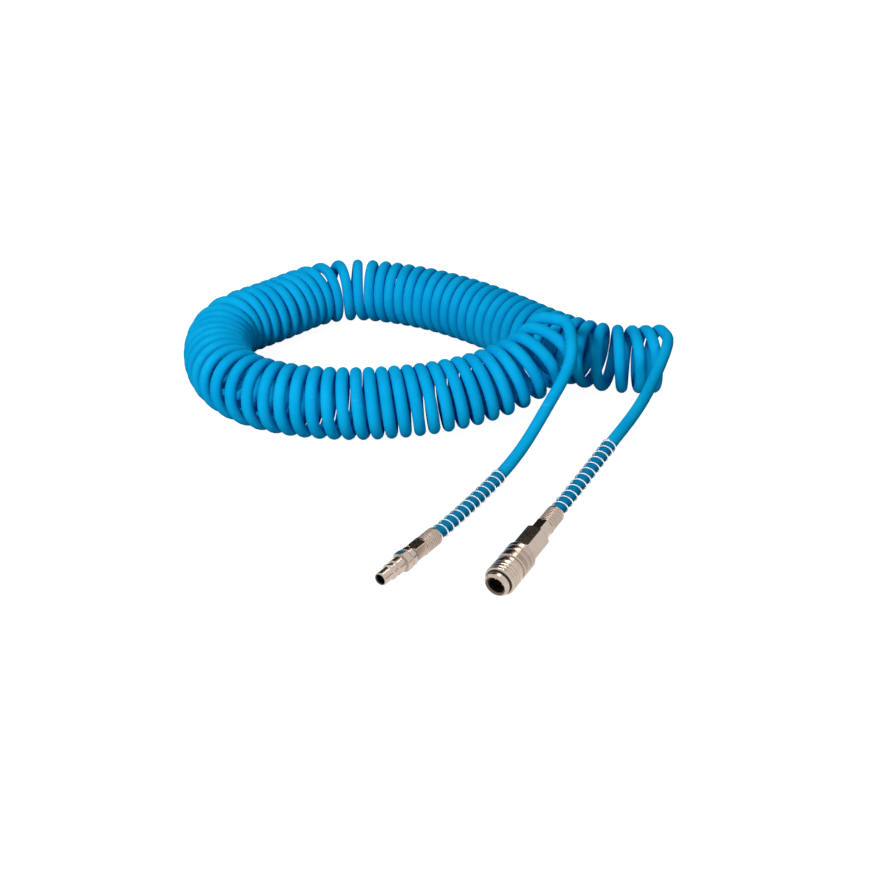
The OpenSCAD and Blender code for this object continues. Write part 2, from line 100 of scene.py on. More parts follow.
# Each lamp: name, place, size, watts, tint, and whether bright metal shows it. Places are metres.
LAMPS = (
    ("key", (-0.8, -1.15, 1.1), (0.3, 0.3), 25, (1, 0.99, 0.97), False),
    ("fill", (0.5, -1.45, 0.45), (0.6, 0.4), 5.5, (1, 0.98, 0.96), False),
    ("back", (0.4, 1.6, 0.55), (1.0, 0.6), 9, (1, 1, 1), False),
    ("top", (0.1, 0.66, 1.45), (1.2, 0.26), 5, (1, 0.96, 0.84), True),
)
LAMPS_AIM = Vector((0, 0, 0.03))
FLOOR_HALF, FLOOR_DROP = 6, 0.0002  # half the floor's side, and its gap under the hose
FLOOR_GLOW, FLOOR_VIEW_GLOW = 0.85, 0.1  # the floor's own white, and how much more of it the camera sees
SKY_GLOW, SKY_LIGHT = 0.94, 0.06  # the white behind everything, and the light that it gives
BACKGROUND_RAYS = "Camera", "Glossy", "Transmission"  # those that show that white
EYE_TARGET, EYE_DISTANCE, EYE_ELEVATION = Vector((0.010, -0.070, 0.030)), 0.963, 30
EYE_LENS, EYE_SENSOR = 50, 36  # millimetres


# ---------------------------------------------------------------- node trees

class Link:
    """An output of a node. Arithmetic on it adds the Math nodes that it needs."""

    def __init__(self, tree, socket):
        self.tree, self.socket = tree, socket

    def maths(self, operation, *values):
        return self.tree.node("ShaderNodeMath", {"operation": operation}, dict(enumerate(values)))

    def __add__(self, other):
        return self.maths("ADD", self, other)

    def __radd__(self, other):
        return self.maths("ADD", other, self)

    def __sub__(self, other):
        return self.maths("SUBTRACT", self, other)

    def __rsub__(self, other):
        return self.maths("SUBTRACT", other, self)

    def __mul__(self, other):
        return self.maths("MULTIPLY", self, other)

    def __rmul__(self, other):
        return self.maths("MULTIPLY", other, self)

    def over(self, level):
        """1 where the value is above level, else 0."""
        return self.maths("GREATER_THAN", self, level)

    def spread(self, low, high):
        """The value eased from 0 at low to 1 at high."""
        return self.tree.node("ShaderNodeMapRange", {"interpolation_type": "SMOOTHSTEP"},
                              {"Value": self, "From Min": low, "From Max": high})


class Tree:
    """A node tree that is written as expressions."""

    def __init__(self, tree):
        self.tree = tree
        tree.nodes.clear()

    def node(self, kind, settings=None, sockets=None, out=0):
        """Adds a node: its settings first, then the values or links of its sockets. Returns its output."""
        made = self.tree.nodes.new(kind)
        made.location = (200 * (len(self.tree.nodes) % 12), -240 * (len(self.tree.nodes) // 12))
        for name, value in (settings or {}).items():
            setattr(made, name, value)
        for name, value in (sockets or {}).items():
            if isinstance(value, Link):
                self.tree.links.new(value.socket, made.inputs[name])
            else:
                made.inputs[name].default_value = value
        return Link(self, made.outputs[out]) if made.outputs else made

    def mixed(self, share, first, second):
        """A colour between two, by share."""
        colours = [(*c, 1) if isinstance(c, tuple) else c for c in (first, second)]
        return self.node("ShaderNodeMix", {"data_type": "RGBA"},
                         {0: share, 6: colours[0], 7: colours[1]}, out=2)

    def noise(self, place, scale, detail=2.0, roughness=0.5):
        return self.node("ShaderNodeTexNoise", {},
                         {"Vector": place, "Scale": scale, "Detail": detail, "Roughness": roughness})


class Finish(Tree):
    """A material with one Principled shader."""

    def __init__(self, name):
        self.material = bpy.data.materials.new(name)
        self.material.use_nodes = True
        super().__init__(self.material.node_tree)
        self.place = self.node("ShaderNodeTexCoord", out="Object")

    def attribute(self, name):
        return self.node("ShaderNodeAttribute", {"attribute_name": name}, out="Fac")

    def bands(self, along, scale, detail=2.0):
        """Noise that changes only along the piece, as turning and drawing marks do."""
        return self.node("ShaderNodeTexNoise", {"noise_dimensions": "1D"},
                         {"W": along, "Scale": scale, "Detail": detail})

    def relief(self, height, depth, strength):
        """A normal for a surface whose height, from 0 to 1, stands for depth metres."""
        return self.node("ShaderNodeBump", {}, {"Height": height, "Distance": depth, "Strength": strength})

    def surface(self, **sockets):
        named = {name.replace("_", " "): value for name, value in sockets.items()}
        shader = self.node("ShaderNodeBsdfPrincipled", {}, named)
        self.node("ShaderNodeOutputMaterial", {}, {"Surface": shader})
        return self.material


class Shape(Tree):
    """A Geometry Nodes tree with named inputs, ended by Realize Instances and Set Material."""

    def __init__(self, name, inputs):
        tree = bpy.data.node_groups.new(name, "GeometryNodeTree")
        tree.is_modifier = True
        super().__init__(tree)
        self.keys = {}
        tree.interface.new_socket("Geometry", in_out="INPUT", socket_type="NodeSocketGeometry")
        for label, kind, default in inputs:
            socket = tree.interface.new_socket(label, in_out="INPUT", socket_type="NodeSocket" + kind)
            if default is not None:
                socket.default_value = default
            self.keys[label] = socket.identifier
        tree.interface.new_socket("Geometry", in_out="OUTPUT", socket_type="NodeSocketGeometry")
        self.group_in = tree.nodes.new("NodeGroupInput")

    def given(self, label):
        return Link(self, self.group_in.outputs[label])

    def stored(self, geometry, name, value):
        """Keeps a value at each point under a name, for the materials."""
        return self.node("GeometryNodeStoreNamedAttribute", {"data_type": "FLOAT", "domain": "POINT"},
                         {"Geometry": geometry, "Name": name, "Value": value})

    def finish(self, geometry):
        realized = self.node("GeometryNodeRealizeInstances", {}, {"Geometry": geometry})
        shown = self.node("GeometryNodeSetMaterial", {},
                          {"Geometry": realized, "Material": self.given("Material")})
        self.node("NodeGroupOutput", {}, {"Geometry": shown})
        return self

    def shape(self, piece, **values):
        """Runs the tree on a piece and leaves the result as its plain mesh."""
        modifier = piece.modifiers.new(self.tree.name, "NODES")
        modifier.node_group = self.tree
        for label, value in values.items():
            modifier[self.keys[label.replace("_", " ")]] = value
        bpy.context.view_layer.update()
        graph = bpy.context.evaluated_depsgraph_get()
        mesh = bpy.data.meshes.new_from_object(piece.evaluated_get(graph), depsgraph=graph)
        piece.modifiers.clear()
        drawn, piece.data = piece.data, mesh
        bpy.data.meshes.remove(drawn)
        mesh.name = piece.name
        material = mesh.materials[mesh.polygons[0].material_index]
        mesh.materials.clear()
        mesh.materials.append(material)
        mesh.polygons.foreach_set("material_index", np.zeros(len(mesh.polygons), np.int32))
        return piece


def winding_shape():
    """A round wire or tube wound about a line.

    Each point of the line says how many turns have passed there, how far it is wound, from 0 to 1, and
    which way is up and which is across.
    """
    t = Shape("Wound line", [("Turn radius", "Float", 0.025), ("Thickness", "Float", 0.01),
                             ("Sides", "Int", 20), ("Material", "Material", None)])
    line = t.node("GeometryNodeMeshToCurve", {}, {"Mesh": t.given("Geometry")})

    def point(name, kind="FLOAT"):
        return t.node("GeometryNodeInputNamedAttribute", {"data_type": kind}, {"Name": name})

    angle = point("turn") * (2 * math.pi)
    reach = point("wound") * t.given("Turn radius")
    up = t.node("ShaderNodeVectorMath", {"operation": "SCALE"},
                {0: point("up", "FLOAT_VECTOR"), "Scale": reach * angle.maths("COSINE", angle)})
    across = t.node("ShaderNodeVectorMath", {"operation": "SCALE"},
                    {0: point("across", "FLOAT_VECTOR"), "Scale": reach * angle.maths("SINE", angle)})
    offset = t.node("ShaderNodeVectorMath", {"operation": "ADD"}, {0: up, 1: across})
    wound = t.node("GeometryNodeSetPosition", {}, {"Geometry": line, "Offset": offset})
    run = t.node("GeometryNodeSplineParameter", out="Length")
    wound = t.stored(wound, "along", run)
    section = t.node("GeometryNodeCurvePrimitiveCircle", {},
                     {"Resolution": t.given("Sides"), "Radius": t.given("Thickness") * 0.5})
    tube = t.node("GeometryNodeCurveToMesh", {},
                  {"Curve": wound, "Profile Curve": section, "Fill Caps": True})
    return t.finish(t.node("GeometryNodeSetShadeSmooth", {}, {"Geometry": tube}))


def rib_shape():
    """Round-edged rings set at even spacing along a turned piece."""
    t = Shape("Ring ribs", [("Ribs", "Int", 8), ("Start", "Vector", None), ("Spacing", "Vector", None),
                            ("Ring radius", "Float", 0.007), ("Rib width", "Float", 0.0015),
                            ("Rib depth", "Float", 0.0005), ("Material", "Material", None)])
    places = t.node("GeometryNodeMeshLine", {"mode": "OFFSET"},
                    {"Count": t.given("Ribs"), "Start Location": t.given("Start"),
                     "Offset": t.given("Spacing")})
    section = t.node("GeometryNodeCurvePrimitiveQuadrilateral", {},
                     {"Width": t.given("Rib depth"), "Height": t.given("Rib width")})
    section = t.node("GeometryNodeFilletCurve", {"mode": "POLY"},
                     {"Curve": section, "Count": 4, "Radius": t.given("Rib depth") * 0.45,
                      "Limit Radius": True})
    circle = t.node("GeometryNodeCurvePrimitiveCircle", {},
                    {"Resolution": 96, "Radius": t.given("Ring radius") - t.given("Rib depth") * 0.5})
    ring = t.node("GeometryNodeCurveToMesh", {}, {"Curve": circle, "Profile Curve": section})
    facing = t.node("FunctionNodeAlignRotationToVector", {"axis": "Z"}, {"Vector": t.given("Spacing")})
    ribs = t.node("GeometryNodeInstanceOnPoints", {},
                  {"Points": places, "Instance": ring, "Rotation": facing})
    ribs = t.stored(t.node("GeometryNodeRealizeInstances", {}, {"Geometry": ribs}), "ribbed", 1.0)
    join = t.node("GeometryNodeJoinGeometry")
    for part in (ribs, t.given("Geometry")):
        t.tree.links.new(part.socket, join.socket.node.inputs[0])
    return t.finish(join)


# ---------------------------------------------------------------- lines and turned pieces

def spline(control, steps):
    """Points on the uniform cubic B-spline that starts and ends on the first and last control points."""
    k = np.array(control, float)
    k = np.vstack([2 * k[0] - k[1], k, 2 * k[-1] - k[-2]])
    t = np.linspace(0, 1, steps, endpoint=False)
    w = np.stack([(1 - t) ** 3, 3 * t**3 - 6 * t**2 + 4, -3 * t**3 + 3 * t**2 + 3 * t + 1, t**3], 1) / 6
    spans = [w @ k[i:i + 4] for i in range(len(k) - 3)]
    return np.vstack([*spans, (k[-3] + 4 * k[-2] + k[-1]) / 6])


def unit(v):
    return v / np.linalg.norm(v, axis=-1, keepdims=True)


def distances(line):
    return np.concatenate([[0], np.cumsum(np.linalg.norm(np.diff(line, axis=0), axis=1))])


def resampled(line, at, values=None):
    """What the line's points hold, their places if nothing is given, at distances along it."""
    run = distances(line)
    values = line if values is None else values
    return np.stack([np.interp(at, run, values[:, k]) for k in range(3)], 1)


def sides_of(line):
    """The direction of a line at each point, and the two directions across it: up and level."""
    along = unit(np.gradient(line, axis=0))
    up = unit(np.array([0, 0, 1]) - along * along[:, 2:])
    return along, up, np.cross(along, up)


def line_object(name, points, **attributes):
    """A mesh of one line of points in millimetres, with a value for each point."""
    mesh = bpy.data.meshes.new(name)
    mesh.from_pydata([tuple(p * MM) for p in points], [(i, i + 1) for i in range(len(points) - 1)], [])
    for key, values in attributes.items():
        values = np.asarray(values, np.float32)
        if values.ndim == 1:
            mesh.attributes.new(key, "FLOAT", "POINT").data.foreach_set("value", values)
        else:
            mesh.attributes.new(key, "FLOAT_VECTOR", "POINT").data.foreach_set("vector", values.ravel())
    return linked(name, mesh)


def linked(name, data):
    piece = bpy.data.objects.new(name, data)
    bpy.context.scene.collection.objects.link(piece)
    return piece


class Coupling:
    """Where a coupling lies: its own z runs from its front towards the hose, x is up and y is level."""

    def __init__(self, place):
        tip, yaw, dip = place
        turn = Matrix.Rotation(math.radians(yaw), 4, "Z") @ Matrix.Rotation(math.radians(dip - 90), 4, "Y")
        self.matrix = Matrix.Translation(Vector(tip) * MM) @ turn
        self.tip = np.array(tip, float)
        self.axis = np.array(turn.to_3x3() @ Vector((0, 0, 1)))

    def point(self, z):
        return self.tip + self.axis * z


PLUG, SOCKET = Coupling(PLUG_PLACE), Coupling(SOCKET_PLACE)


def rounded(outline, radius):
    """A closed outline of (z, diameter, mark) as (z, radius, mark, worn), with its corners rounded.

    Worn is 1 at the points on a rounding.
    """
    made = []
    points = [np.array([z, d / 2]) for z, d, *_ in outline]
    for i, (z, d, *mark) in enumerate(outline):
        here, before, after = points[i], points[i - 1], points[(i + 1) % len(points)]
        a, b = before - here, after - here
        la, lb = np.linalg.norm(a), np.linalg.norm(b)
        bent = abs(a[0] * b[1] - a[1] * b[0]) / (la * lb) > 0.1
        cut = min(radius, 0.42 * la, 0.42 * lb)
        if not bent or cut < 0.02:
            made.append((*here, *mark, 0))
            continue
        start, end = here + a / la * cut, here + b / lb * cut
        for t in (0, 0.25, 0.5, 0.75, 1):
            made.append((*((1 - t) ** 2 * start + 2 * t * (1 - t) * here + t * t * end), *mark, 1))
    return made


def hexagon_angles(across, corners, turn):
    """The angles at which a hexagon's section is drawn: 11 over each flat and one at each corner."""
    half = math.degrees(math.acos(across / corners))
    return [turn + 30 + 60 * k + a for k in range(6) for a in (*np.linspace(-half, half, 11), 30)]


def turned(name, coupling, outline, radius=0.25, flats=None):
    """A closed piece turned about a coupling's axis from (z, diameter, mark) points.

    The outline runs along the outside from front to back, then along the bore from back to front. Where the
    mark is 1 it is cut to a hexagon, which flats gives as (across flats, across corners, turn).
    """
    loop = rounded([(*p, 0) if len(p) == 2 else p for p in outline], radius)
    dense = []
    for p, q in zip(loop, loop[1:] + loop[:1]):
        dense.append(p)
        if p[2] and q[2] and abs(p[1] - q[1]) > 0.05:
            dense += [(p[0] + (q[0] - p[0]) * share, p[1] + (q[1] - p[1]) * share, 1, 0)
                      for share in (0.2, 0.4, 0.6, 0.8)]
    across, _, turn = flats or (0, 0, 0)
    angles = hexagon_angles(*flats) if flats else np.linspace(0, 360, 96, endpoint=False)
    rows, marks = [], []
    back = max(range(len(dense)), key=lambda i: dense[i][0])
    for i, (z, r, cut, worn) in enumerate(dense):
        for angle in angles:
            off = math.radians((angle - turn) % 60 - 30)
            reach = min(r, across / 2 / math.cos(off)) if cut else r
            x, y = math.cos(math.radians(angle)), math.sin(math.radians(angle))
            rows.append(coupling.matrix @ Vector((reach * MM * x, reach * MM * y, z * MM)))
            marks.append((worn, z * MM, cut, i > back))
    n, count = len(angles), len(dense)
    faces = [(i * n + j, i * n + (j + 1) % n, (i + 1) % count * n + (j + 1) % n, (i + 1) % count * n + j)
             for i in range(count) for j in range(n)]
    mesh = bpy.data.meshes.new(name)
    mesh.from_pydata(rows, [], faces)
    for key, values in zip(("edge", "station", "flat", "bore"), np.array(marks, np.float32).T):
        mesh.attributes.new(key, "FLOAT", "POINT").data.foreach_set("value", np.ascontiguousarray(values))
    work = bmesh.new()
    work.from_mesh(mesh)
    bmesh.ops.recalc_face_normals(work, faces=work.faces)
    work.to_mesh(mesh)
    work.free()
    mesh.shade_smooth()
    mesh.set_sharp_from_angle(angle=math.radians(25))
    return linked(name, mesh)


def spring(name, line, turns, radius, wire, sides):
    """A wire spring wound about the whole of a line, with one closed turn at each end."""
    total, closed = distances(line)[-1], CLOSED_TURN * wire
    at = np.linspace(0, turns, turns * 40 + 1)
    run = np.interp(at, [0, 1, turns - 1, turns],
                    [wire / 2, wire / 2 + closed, total - wire / 2 - closed, total - wire / 2])
    up, across = (resampled(line, run, way) for way in sides_of(line)[1:])
    piece = line_object(name, resampled(line, run), turn=at, wound=np.ones(len(at)), up=up, across=across)
    return WINDING().shape(piece, Turn_radius=radius * MM, Thickness=wire * MM, Sides=sides,
                           Material=spring_steel())


MADE = {}


def once(make):
    """A tree or material that is made the first time it is wanted."""
    def get():
        if make.__name__ not in MADE:
            MADE[make.__name__] = make()
        return MADE[make.__name__]
    return get


WINDING, RIBS = once(winding_shape), once(rib_shape)


# ---------------------------------------------------------------- finishes

@once
def polyurethane():
    """Blue polyurethane tube, slightly cloudy, with faint drawing streaks and scuffs, and painted shade where
    it runs under a bend guard.
    """
    settings = bpy.context.scene.airhose_hose
    t = Finish("hose_polyurethane")
    cloud = t.noise(t.place, 26, 3)
    ripple = t.bands(t.attribute("along"), 60, 1)
    scuff = t.noise(t.place, 150, 4, 0.65).spread(0.60, 0.75)
    colour = t.mixed(cloud.spread(0.3, 0.7), (*settings.cloud_colour,), (*settings.hose_colour,))
    colour = t.mixed(scuff * 0.35, colour, (0.04, 0.50, 0.90))
    # Painted shade: the hose is coloured darker where a bend guard covers it, in place of the guard's shadow.
    colour = t.mixed(t.attribute("gripped") * 0.75, colour, (0.004, 0.15, 0.32))  # shaded by the bend guard
    rough = 0.30 + 0.08 * cloud + 0.15 * scuff
    # Gloss would draw thin light lines between the turns, where they are seen edge on.
    return t.surface(Base_Color=colour, Roughness=rough, IOR=1.45, Specular_IOR_Level=0.0,
                     Normal=t.relief(ripple, 0.0002, 0.3))


@once
def nickel():
    """Warm bright nickel plate over turned brass.

    It has fine turning marks, edges polished by handling, ribbed collars worn lighter, and bores painted dark
    as the shade inside them.
    """
    t = Finish("nickel_plate")
    edge, flat, bore, ribbed = (t.attribute(name) for name in ("edge", "flat", "bore", "ribbed"))
    rings = t.bands(t.attribute("station"), 2600)
    film = t.noise(t.place, 90, 4)
    spots = t.noise(t.place, 900, 2).spread(0.62, 0.75)
    colour = t.mixed(film.spread(0.35, 0.65), (0.35, 0.265, 0.22), (0.45, 0.35, 0.295))
    colour = t.mixed(spots * 0.35, colour, (0.26, 0.195, 0.155))
    colour = t.mixed(edge * 0.5, colour, (0.70, 0.60, 0.51))
    colour = t.mixed(ribbed * 0.6, colour, (0.72, 0.60, 0.53))
    # Painted shade: the bores are coloured dark, standing in for the shade inside them.
    colour = t.mixed(bore * 0.85, colour, (0.09, 0.065, 0.05))
    rough = 0.11 + 0.08 * film + 0.05 * rings + 0.12 * spots + 0.2 * bore + 0.3 * ribbed - 0.04 * flat
    return t.surface(Base_Color=colour, Metallic=1.0, Roughness=rough,
                     Normal=t.relief(rings * (1 - flat), 0.00006, 0.25))


@once
def spring_steel():
    """Bright drawn spring wire."""
    t = Finish("spring_steel")
    streak = t.bands(t.attribute("along"), 900)
    film = t.noise(t.place, 300, 3)
    colour = t.mixed(film.spread(0.3, 0.7), (0.78, 0.84, 0.88), (0.92, 0.97, 1.0))
    return t.surface(Base_Color=colour, Metallic=1.0, Roughness=0.14 + 0.12 * film,
                     Normal=t.relief(streak, 0.00004, 0.3))


@once
def ball_steel():
    """Polished bearing steel."""
    t = Finish("ball_steel")
    film = t.noise(t.place, 1200, 3)
    colour = t.mixed(film, (0.55, 0.56, 0.58), (0.72, 0.72, 0.74))
    return t.surface(Base_Color=colour, Metallic=1.0, Roughness=0.06 + 0.10 * film)


@once
def blackened_steel():
    """Oil-blackened steel, worn lighter on its edges."""
    t = Finish("blackened_steel")
    film = t.noise(t.place, 700, 4)
    edge = t.attribute("edge")
    colour = t.mixed(film, (0.012, 0.012, 0.013), (0.03, 0.029, 0.028))
    colour = t.mixed(edge * film * 0.5, colour, (0.12, 0.11, 0.10))
    return t.surface(Base_Color=colour, Metallic=0.7, Roughness=0.30 + 0.2 * film)


@once
def valve_brass():
    """Turned brass with a slight tarnish."""
    t = Finish("valve_brass")
    film = t.noise(t.place, 500, 4)
    colour = t.mixed(film.spread(0.3, 0.7), (0.62, 0.40, 0.14), (0.42, 0.25, 0.09))
    return t.surface(Base_Color=colour, Metallic=1.0, Roughness=0.22 + 0.2 * film)


@once
def seal_rubber():
    """Black sealing rubber with a fine grain."""
    t = Finish("seal_rubber")
    grain = t.noise(t.place, 3000, 3)
    colour = t.mixed(grain, (0.010, 0.010, 0.011), (0.022, 0.022, 0.023))
    return t.surface(Base_Color=colour, Roughness=0.45 + 0.2 * grain, Normal=t.relief(grain, 0.00005, 0.4))


# ---------------------------------------------------------------- settings

class HoseSettings(bpy.types.PropertyGroup):
    """The hose, its coil and its bend guards."""

    hose_thickness: bpy.props.FloatProperty(
        name="Hose", description="Outer diameter of the hose",
        default=0.010, min=0.006, max=0.014, unit="LENGTH")
    turn_radius: bpy.props.FloatProperty(
        name="Turn radius", description="From the coil's axis to the hose's middle",
        default=0.0255, min=0.018, max=0.035, unit="LENGTH")
    turns: bpy.props.IntProperty(
        name="Turns", description="Number of turns in the coil", default=71, min=50, max=80)
    wire: bpy.props.FloatProperty(
        name="Guard wire", description="Wire diameter of the bend guards",
        default=0.0012, min=0.0008, max=0.0014, unit="LENGTH")
    guard_turns: bpy.props.IntProperty(
        name="Guard turns", description="Number of turns in a bend guard", default=14, min=8, max=20)
    guard_length: bpy.props.FloatProperty(
        name="Guard length", description="Length of a bend guard",
        default=0.095, min=0.06, max=0.12, unit="LENGTH")
    hose_colour: bpy.props.FloatVectorProperty(
        name="Hose colour", description="Colour of the hose",
        default=(0.004, 0.425, 0.815), min=0, max=1, subtype="COLOR")
    cloud_colour: bpy.props.FloatVectorProperty(
        name="Cloud colour", description="Darker colour that clouds the hose",
        default=(0.002, 0.355, 0.735), min=0, max=1, subtype="COLOR")


class FittingSettings(bpy.types.PropertyGroup):
    """The two couplings and their nuts."""

    edge_radius: bpy.props.FloatProperty(
        name="Edge radius", description="Rounding of the couplings' edges",
        default=0.00025, min=0.00005, max=0.0005, unit="LENGTH")
    nut_ribs: bpy.props.IntProperty(
        name="Nut ribs", description="Rings around the collar of each union nut", default=8, min=1, max=10)


class StageSettings(bpy.types.PropertyGroup):
    """The floor and the light."""

    floor_colour: bpy.props.FloatVectorProperty(
        name="Floor", description="Colour of the floor",
        default=(0.25, 0.25, 0.25), min=0, max=1, subtype="COLOR")
    light: bpy.props.FloatProperty(
        name="Light", description="Level of all the lamps", default=1.0, min=0, max=3)


# ---------------------------------------------------------------- operators

class AIRHOSE_OT_stage(bpy.types.Operator):
    """Set the camera, the floor and the studio light"""

    bl_idname = "airhose.stage"
    bl_label = "Stage"

    def execute(self, context):
        scene, settings = context.scene, context.scene.airhose_stage
        scene.view_settings.view_transform = "Standard"
        eye = bpy.data.cameras.new("view")
        eye.lens, eye.sensor_width, eye.clip_start, eye.clip_end = EYE_LENS, EYE_SENSOR, 0.01, 100
        camera = linked("view", eye)
        rise = math.radians(EYE_ELEVATION)
        back = Vector((0, -math.cos(rise), math.sin(rise)))
        camera.location = EYE_TARGET + back * EYE_DISTANCE
        camera.rotation_euler = (-back).to_track_quat("-Z", "Y").to_euler()
        scene.camera = camera

        floor = self.board("floor", self.floor_paint(settings),
                           [(-FLOOR_HALF, -FLOOR_HALF, 0), (FLOOR_HALF, -FLOOR_HALF, 0),
                            (FLOOR_HALF, FLOOR_HALF, 0), (-FLOOR_HALF, FLOOR_HALF, 0)])
        floor.location.z = -FLOOR_DROP
        # What the upper sides of the metal show, in place of the white behind it.
        card = self.board("dark_card", self.card_paint(),
                          [(-1.6, 1.5, 0.2), (1.6, 1.5, 0.2), (1.6, 1.5, 2.05), (-1.6, 1.5, 2.05)])
        card.visible_camera = card.visible_diffuse = card.visible_shadow = card.visible_transmission = False
        scene.world = self.sky()
        for name, place, size, watts, tint, shines in LAMPS:
            lamp = bpy.data.lights.new(name, "AREA")
            lamp.shape, (lamp.size, lamp.size_y) = "RECTANGLE", size
            lamp.energy, lamp.color = watts * settings.light, tint
            held = linked(name, lamp)
            held.location = place
            held.rotation_euler = (LAMPS_AIM - Vector(place)).to_track_quat("-Z", "Y").to_euler()
            held.visible_glossy = shines
        return {"FINISHED"}

    @staticmethod
    def board(name, paint, corners):
        """A flat rectangle."""
        mesh = bpy.data.meshes.new(name)
        mesh.from_pydata(corners, [], [(0, 1, 2, 3)])
        mesh.materials.append(paint)
        return linked(name, mesh)

    @staticmethod
    def seen(t, *kinds):
        """1 for the rays of any of these kinds."""
        path = t.node("ShaderNodeLightPath").socket.node
        rays = [Link(t, path.outputs[f"Is {kind} Ray"]) for kind in kinds]
        return sum(rays[1:], rays[0]).over(0.5)

    def floor_paint(self, settings):
        t = Finish("floor_paint")
        grain = t.noise(t.place, 60, 3)
        colour = t.mixed(grain * 0.15, (*settings.floor_colour,), (0.22, 0.22, 0.22))
        white = self.seen(t, *BACKGROUND_RAYS) * FLOOR_GLOW + self.seen(t, "Camera") * FLOOR_VIEW_GLOW
        glow = t.mixed(white, (0.0, 0.0, 0.0), (1.0, 1.0, 1.0))
        return t.surface(Base_Color=colour, Roughness=0.9, Emission_Color=glow, Emission_Strength=1.0)

    def card_paint(self):
        t = Finish("card_paint")
        colour = t.mixed(t.noise(t.place, 5), (0.01, 0.01, 0.01), (0.02, 0.018, 0.018))
        return t.surface(Base_Color=colour, Roughness=1.0)

    def sky(self):
        world = bpy.data.worlds.new("studio")
        world.use_nodes = True
        t = Tree(world.node_tree)
        light = t.node("ShaderNodeBackground", {},
                       {"Color": (1, 1, 1, 1),
                        "Strength": self.seen(t, *BACKGROUND_RAYS) * SKY_GLOW + SKY_LIGHT})
        t.node("ShaderNodeOutputWorld", {}, {"Surface": light})
        return world


def coil_axis(settings):
    """The coil's axis, and the turns passed at each of its points.

    The turns stand further apart on a sharp bend, so that they don't meet on its inside.
    """
    radius, thickness = settings.turn_radius / MM, settings.hose_thickness / MM
    route = spline(COIL_ROUTE, ROUTE_STEPS)
    line = route[:, :3] + np.array([0, 0, radius + thickness / 2])
    slope = np.gradient(line, axis=0)
    heading = np.unwrap(np.arctan2(slope[:, 1], slope[:, 0]))
    bend = np.minimum(np.abs(np.gradient(heading)) / np.linalg.norm(slope, axis=1), SHARPEST_BEND)
    pitch = np.maximum(route[:, 3], TOUCHING * thickness / (1 - radius * bend))
    step = np.diff(distances(line)) / ((pitch[1:] + pitch[:-1]) / 2)
    turn = np.concatenate([[0], np.cumsum(step)])
    turn *= settings.turns / turn[-1]
    at = np.arange(settings.turns * TURN_POINTS + 1) / TURN_POINTS
    return np.stack([np.interp(at, turn, line[:, k]) for k in range(3)], 1), at


def tail_line(start, heading, route, coupling, stem_end):
    """The straight stretch from the coil's last turn to a coupling's stem."""
    lead = start + TAIL_LEAD * heading / np.linalg.norm(heading)
    return spline([start, lead, *route, coupling.point(stem_end + STEM_GRIP), coupling.point(stem_end)],
                  TAIL_STEPS)


def listed(piece, body, slot, *nodes):
    """Hangs a piece on the empty of the body that it rides on and hides the CAD nodes that it stands for; its
    slot is not used.
    """
    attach(piece, body)
    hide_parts(*nodes)


class AIRHOSE_OT_hose(bpy.types.Operator):
    """Wind the hose: the coil along its route, and a straight stretch to each coupling"""

    bl_idname = "airhose.hose"
    bl_label = "Hose"

    def execute(self, context):
        settings = context.scene.airhose_hose
        radius = settings.turn_radius / MM
        axis, turn = coil_axis(settings)
        _, up, across = sides_of(axis)
        angle = (2 * math.pi * turn)[:, None]
        coil = axis + radius * (np.cos(angle) * up + np.sin(angle) * across)
        plug_tail = tail_line(coil[0], coil[0] - coil[1], PLUG_TAIL, PLUG, PLUG_STEM_END)[::-1][:-1]
        socket_tail = tail_line(coil[-1], coil[-1] - coil[-2], SOCKET_TAIL, SOCKET, SOCKET_STEM_END)[1:]
        guard = NUT_LENGTH - GUARD_SEAT + settings.guard_length / MM
        # Where a bend guard covers the hose; its colour is painted darker there, as shade.
        plug_guard_shade = distances(plug_tail) < PLUG_NUT + guard - PLUG_STEM_END
        socket_guard_shade = distances(socket_tail[::-1]) < SOCKET_NUT + guard - SOCKET_STEM_END

        def along(coil_values, at_plug=0, at_socket=0):
            """A value for each point of the whole hose, from those of the coil and the straight stretches."""
            values = np.zeros((len(plug_tail) + len(turn) + len(socket_tail), *np.shape(coil_values)[1:]))
            values[:len(plug_tail)] = at_plug
            values[len(plug_tail):-len(socket_tail)] = coil_values
            values[-len(socket_tail):] = at_socket
            return values

        hose = line_object(
            "air_hose", np.vstack([plug_tail, axis, socket_tail]), turn=along(turn),
            wound=along(np.ones(len(turn))), up=along(up), across=along(across),
            gripped=along(np.zeros(len(turn)), plug_guard_shade, socket_guard_shade[::-1]),
        )
        WINDING().shape(hose, Turn_radius=settings.turn_radius, Thickness=settings.hose_thickness, Sides=20,
                        Material=polyurethane())
        listed(hose, "hose", "hose", "hose_coil", "hose_tail_plug", "hose_tail_socket")
        return {"FINISHED"}


